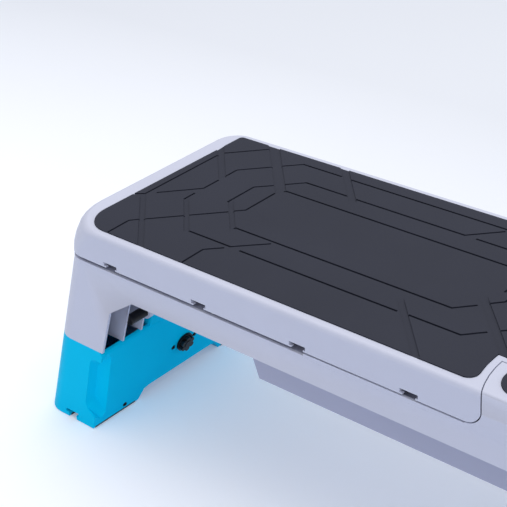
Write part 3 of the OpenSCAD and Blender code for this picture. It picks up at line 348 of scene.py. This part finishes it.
def screw_tree():
    """Pan-head screws on points: a domed head with a cross recess, and a shank."""
    tree = bpy.data.node_groups.new("pan_head_screws", "GeometryNodeTree")
    face = tree.interface
    face.new_socket("Geometry", in_out="INPUT", socket_type="NodeSocketGeometry")
    face.new_socket("Head radius", in_out="INPUT", socket_type="NodeSocketFloat")
    face.new_socket("Shank length", in_out="INPUT", socket_type="NodeSocketFloat")
    face.new_socket("Turn", in_out="INPUT", socket_type="NodeSocketVector")
    face.new_socket("Finish", in_out="INPUT", socket_type="NodeSocketMaterial")
    face.new_socket("Geometry", in_out="OUTPUT", socket_type="NodeSocketGeometry")
    given = tree.nodes.new("NodeGroupInput").outputs
    head_r = given["Head radius"]
    dome_scale = HEAD_H / HEAD_R
    dome = shape(tree, "GeometryNodeMeshUVSphere", scale=(1, 1, dome_scale), Radius=head_r, Segments=32, Rings=16)
    block = LOWER_BLOCK * MM
    below = shape(tree, "GeometryNodeMeshCube", place=(0, 0, -block / 2), Size=(block, block, block))
    bars = [shape(tree, "GeometryNodeMeshCube", place=(0, 0, HEAD_H * MM), turn=(0, 0, a),
                  Size=[side * MM for side in RECESS]) for a in (0, math.pi / 2)]
    head = tree.nodes.new("GeometryNodeMeshBoolean")
    head.operation = "DIFFERENCE"
    tree.links.new(dome, head.inputs["Mesh 1"])
    for cutter in [below] + bars:
        tree.links.new(cutter, head.inputs["Mesh 2"])
    long = given["Shank length"]
    half = add(tree, "ShaderNodeMath", {0: long, 1: -0.5}, operation="MULTIPLY")
    down = add(tree, "ShaderNodeCombineXYZ", {"Z": half.outputs[0]})
    rod = add(tree, "GeometryNodeMeshCylinder", {"Vertices": 24, "Radius": SHANK_R * MM, "Depth": long})
    shank = add(tree, "GeometryNodeTransform", {"Geometry": rod.outputs["Mesh"], "Translation": down.outputs[0]})
    screw = tree.nodes.new("GeometryNodeJoinGeometry")
    tree.links.new(head.outputs["Mesh"], screw.inputs[0])
    tree.links.new(shank.outputs[0], screw.inputs[0])
    placed = add(tree, "GeometryNodeInstanceOnPoints", {"Points": given["Geometry"], "Instance": screw.outputs[0],
                                                       "Rotation": given["Turn"]})
    spin = add(tree, "FunctionNodeRandomValue", {"Max": (0.0, 0.0, math.pi), "Seed": 4}, data_type="FLOAT_VECTOR")
    spun = add(tree, "GeometryNodeRotateInstances", {"Instances": placed.outputs[0],
                                                    "Rotation": spin.outputs["Value"]})
    whole = add(tree, "GeometryNodeRealizeInstances", {"Geometry": spun.outputs[0]})
    finished = add(tree, "GeometryNodeSetMaterial", {"Geometry": whole.outputs[0], "Material": given["Finish"]})
    end = tree.nodes.new("NodeGroupOutput")
    tree.links.new(finished.outputs[0], end.inputs["Geometry"])
    return tree


def screws(tree, node, out):
    """The screws of one CAD node, made by the screw tree on the node's own places."""
    out = Vector(out)
    seats, length = screw_seats(node, out)
    points = bpy.data.meshes.new(node + "_points")
    points.from_pydata([tuple(seat) for seat in seats], [], [])
    obj = bpy.data.objects.new(node + "_places", points)
    bpy.context.scene.collection.objects.link(obj)
    modifier = obj.modifiers.new("screws", "NODES")
    modifier.node_group = tree
    values = {"Head radius": HEAD_R * MM, "Shank length": length,
              "Turn": tuple(out.to_track_quat("Z", "Y").to_euler()), "Finish": FINISH[SLOT_OF[node]]}
    for item in tree.interface.items_tree:
        if item.in_out == "INPUT" and item.name in values:
            modifier[item.identifier] = values[item.name]
    result = plain_mesh(obj, node + "_finished")
    result.data.shade_smooth()
    result.data.set_sharp_from_angle(angle=SHARP)
    return result


# Tread: lines cut into the mat, as corners in millimetres in the deck's frame. Each stretch runs past its ends by a
# share of the width, so that the stretches meet. The cutters end a little above the mat.
GROOVE_W = 3.2
GROOVE_DEEP = 2.4
GROOVE_PAST = 0.2
CUT_ABOVE = 1
TREAD_EDGE_MM = 0.5
LID_LINES = [
    [(-495, -65), (-479, -54), (-479, 97)],
    [(-475, 107), (-427, 154)],
    [(-420, 51), (-420, 75), (-383, 111)],
    [(-467, -42), (-420, 5), (-420, 36)],
    [(-420, -34), (-420, -13)],
    [(-424, -109), (-384, -70)],
    [(-379, -65), (-341, -28)],
    [(-336, -22), (-324, -10), (-324, 50)],
    [(-362, -6), (-362, 48), (-342, 67)],
    [(-438, -166), (-439, -124), (-429, -113)],
    [(-347, -98), (-271, -98), (-232, -62)],
    [(-295, -166), (-296, -124), (-276, -105)],
    [(-373, 121), (-350, 143), (-279, 143)],
    [(-330, 79), (-308, 100), (-234, 100)],
    [(-260, 142), (180, 142)],
    [(-217, 99), (-37, 99), (0, 136)],
    [(-19, 99), (150, 99)],
    [(-318, 64), (62, 64), (83, 43), (83, 10)],
    [(-303, -56), (52, -56), (73, -34)],
    [(-253, -99), (3, -99)],
    [(20, -98), (94, -98), (115, -76)],
    [(83, -22), (96, -8), (96, 40)],
    [(127, -64), (151, -40), (151, 40)],
]
# Wide channels on a diagonal: where each lies (x + y), its two ends in x, and its width. It deepens over a ramp.
LID_CHANNELS = [
    (-376, -500, -420, 11),
    (-537, -480, -370, 9),
    (-450, -420, -350, 8),
    (-362, -362, -300, 8),
    (-262, -445, -318, 16),
    (-126, -300, -216, 11),
    (-85, -12, 80, 9),
    (54, 67, 160, 11),
]
CHANNEL_DEEP = 1.4
CHANNEL_RAMP = 9
# The seat mat has the lid's lines left of this place in x, mirrored
SEAT_EDGE = 290
SEAT_LINES = [[(-x, y) for x, y in line] for line in LID_LINES if all(x < -SEAT_EDGE for x, y in line)]


def prism(points, lows, high, name):
    """A closed solid on a convex outline, from a height at each corner up to one height, in millimetres."""
    work = bmesh.new()
    floor = [work.verts.new((x * MM, y * MM, low * MM)) for (x, y), low in zip(points, lows)]
    roof = [work.verts.new((x * MM, y * MM, high * MM)) for x, y in points]
    count = len(points)
    work.faces.new(reversed(floor))
    work.faces.new(roof)
    for i in range(count):
        j = (i + 1) % count
        work.faces.new((floor[i], floor[j], roof[j], roof[i]))
    bmesh.ops.recalc_face_normals(work, faces=work.faces)
    mesh = bpy.data.meshes.new(name)
    work.to_mesh(mesh)
    work.free()
    obj = bpy.data.objects.new(name, mesh)
    bpy.context.scene.collection.objects.link(obj)
    return obj


def line_outlines(points, width):
    """Outlines of the straight stretches of a line, each long enough to meet the next."""
    outlines = []
    for a, b in zip(points, points[1:]):
        along = Vector(b) - Vector(a)
        along.normalize()
        side = Vector((-along.y, along.x)) * width / 2
        start = Vector(a) - along * width * GROOVE_PAST
        end = Vector(b) + along * width * GROOVE_PAST
        outlines.append([tuple(start - side), tuple(end - side), tuple(end + side), tuple(start + side)])
    return outlines


def cut(obj, cutters):
    """Takes the cutters out of a piece, one after another."""
    for cutter in cutters:
        boolean = obj.modifiers.new("cut", "BOOLEAN")
        boolean.operation = "DIFFERENCE"
        boolean.solver = "MANIFOLD"
        boolean.object = cutter
    name = obj.name
    result = plain_mesh(obj, name)
    for cutter in cutters:
        bpy.data.objects.remove(cutter)
    join_flats(result.data)
    return result


def tread(node, name, lines, channels):
    """A tread mat: the CAD slab with its lines and channels cut in, and soft edges. A channel starts with a ramp."""
    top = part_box(node)[1][2] / MM
    slab = copy_of(node, name)
    cutters = []
    for points in lines:
        for outline in line_outlines(points, GROOVE_W):
            cutters.append(prism(outline, [top - GROOVE_DEEP] * 4, top + CUT_ABOVE, "line"))
    deep = top - CHANNEL_DEEP
    for where, x0, x1, width in channels:
        half = width / 2 * math.sqrt(0.5)
        level = x0 + CHANNEL_RAMP
        for a, b, low_a, low_b in ((x0, level, top, deep), (level, x1, deep, deep)):
            outline = [(a - half, where - a - half), (b - half, where - b - half),
                       (b + half, where - b + half), (a + half, where - a + half)]
            cutters.append(prism(outline, [low_a, low_b, low_b, low_a], top + CUT_ABOVE, "channel"))
    return soften(cut(slab, cutters), name, TREAD_EDGE_MM, 2)


# Light: the room's strength at its left and right, and each lamp's place and size in metres and power in watts
ROOM_LIGHT = (0.4, 1.3)
LAMPS = {"key": ((-0.5, 0.3, 2.8), 2.8, 29)}
LAMP_AIM = Vector((-0.1, 0, 0.25))
FLOOR_SIZE_M = 14
# Floor as the camera sees it: a painted bluish glow of its own, which lifts the floor and tints its shadows blue,
# and the share of light that it returns
FLOOR_GLOW = 0.24
FLOOR_SHARE = 0.95
# Painted shade: the floor's colour darkens towards the back of the studio, to this share at this distance behind the
# deck, in metres
FLOOR_FAR = 0.72
FLOOR_FADE_M = 1.1


def studio_floor():
    """Painted studio floor: pale, matt and faintly uneven, with painted shade that darkens it towards the back and a
    painted bluish glow for the camera that tints its shadows. It lights the deck bluer and darker than it is seen.
    """
    material, tree, shader = new_material("studio_floor")
    place = add(tree, "ShaderNodeTexCoord").outputs["Object"]
    uneven = add(tree, "ShaderNodeTexNoise", {"Vector": place, "Scale": 0.8, "Detail": 1.0})
    shade = spread(tree, uneven, 0.98, 1.0)
    back = add(tree, "ShaderNodeSeparateXYZ", {"Vector": place}).outputs["Y"]
    # Painted shade: the floor's colour darkens towards the back of the studio
    painted_falloff = add(tree, "ShaderNodeMapRange", {"Value": back, "From Min": 0.0, "From Max": FLOOR_FADE_M,
                                           "To Min": 1.0, "To Max": FLOOR_FAR})
    tone = add(tree, "ShaderNodeMath", {0: shade, 1: painted_falloff.outputs["Result"]}, operation="MULTIPLY")
    tint = add(tree, "ShaderNodeHueSaturation", {"Color": colour(FLOOR), "Value": tone.outputs[0]})
    dull = add(tree, "ShaderNodeHueSaturation", {"Color": tint.outputs["Color"], "Value": FLOOR_SHARE})
    below = add(tree, "ShaderNodeHueSaturation", {"Color": colour(FLOOR_BELOW), "Value": tone.outputs[0]})
    tree.links.new(below.outputs["Color"], shader.inputs["Base Color"])
    shader.inputs["Roughness"].default_value = 0.6
    shader.inputs["Specular IOR Level"].default_value = 0.2
    # Painted light: a bluish glow that the camera sees, which lifts the floor and tints its shadows blue
    glow = add(tree, "ShaderNodeEmission", {"Color": colour(FLOOR_GLOW_TINT), "Strength": FLOOR_GLOW})
    matt = add(tree, "ShaderNodeBsdfDiffuse", {"Color": dull.outputs["Color"]})
    seen_floor = add(tree, "ShaderNodeAddShader", {0: glow.outputs[0], 1: matt.outputs[0]})
    ray = add(tree, "ShaderNodeLightPath").outputs
    mirrored = add(tree, "ShaderNodeMath", {0: ray["Is Glossy Ray"], 1: ray["Is Transmission Ray"]},
                   operation="MAXIMUM")
    seen = add(tree, "ShaderNodeMath", {0: ray["Is Camera Ray"], 1: mirrored.outputs[0]}, operation="MAXIMUM")
    both = add(tree, "ShaderNodeMixShader", {0: seen.outputs[0], 1: shader.outputs[0], 2: seen_floor.outputs[0]})
    end = next(node for node in tree.nodes if node.type == "OUTPUT_MATERIAL")
    tree.links.new(both.outputs[0], end.inputs["Surface"])
    return material


def floor_and_light():
    """Pale seamless floor, a large soft lamp above, and an even room that is dimmer on the left."""
    bpy.ops.mesh.primitive_plane_add(size=FLOOR_SIZE_M, location=(0, 0, 0))
    floor = bpy.context.object
    floor.name = "floor"
    floor.data.materials.append(studio_floor())
    world = bpy.data.worlds.new("studio")
    bpy.context.scene.world = world
    world.use_nodes = True
    tree = world.node_tree
    way = add(tree, "ShaderNodeSeparateXYZ", {"Vector": add(tree, "ShaderNodeTexCoord").outputs["Generated"]})
    level = add(tree, "ShaderNodeMapRange", {"Value": way.outputs["X"], "From Min": -1.0, "From Max": 1.0,
                                            "To Min": ROOM_LIGHT[0], "To Max": ROOM_LIGHT[1]})
    background = tree.nodes["Background"]
    background.inputs["Color"].default_value = colour(SKY)
    tree.links.new(level.outputs["Result"], background.inputs["Strength"])
    for name, (place, size, watts) in LAMPS.items():
        lamp(name, place, size, watts)


def lamp(name, at, size, watts):
    """A soft square lamp aimed at the deck's middle."""
    light = bpy.data.lights.new(name, "AREA")
    light.size = size
    light.energy = watts
    obj = bpy.data.objects.new(name, light)
    obj.location = at
    obj.rotation_euler = (LAMP_AIM - obj.location).to_track_quat("-Z", "Y").to_euler()
    bpy.context.scene.collection.objects.link(obj)


def camera():
    """The photograph's view: a long lens from the front right, without shift."""
    data = bpy.data.cameras.new("camera")
    data.sensor_width = SENSOR_MM
    data.lens = LENS_MM
    data.clip_end = CLIP_M
    obj = bpy.data.objects.new("camera", data)
    right = CAMERA_RIGHT.normalized()
    up = CAMERA_UP.normalized()
    turn = Matrix((right, up, right.cross(up))).transposed().to_4x4()
    obj.matrix_world = Matrix.Translation(CAMERA_AT) @ turn
    bpy.context.scene.collection.objects.link(obj)
    bpy.context.scene.camera = obj


bpy.context.scene.view_settings.view_transform = "Standard"
camera()
dress_cad_nodes()
for node_name, width_mm in EDGE_MM.items():
    stand_for(soften(copy_of(node_name, node_name + "_soft"), node_name + "_finished", width_mm), node_name)
stand_for(tread("backrest_mat", "backrest_tread", LID_LINES, LID_CHANNELS), "backrest_mat")
stand_for(tread("seat_mat", "seat_tread", SEAT_LINES, []), "seat_mat")
pan_heads = screw_tree()
for node_name, way_out in SCREW_OUT.items():
    stand_for(screws(pan_heads, node_name, way_out), node_name)
floor_and_light()
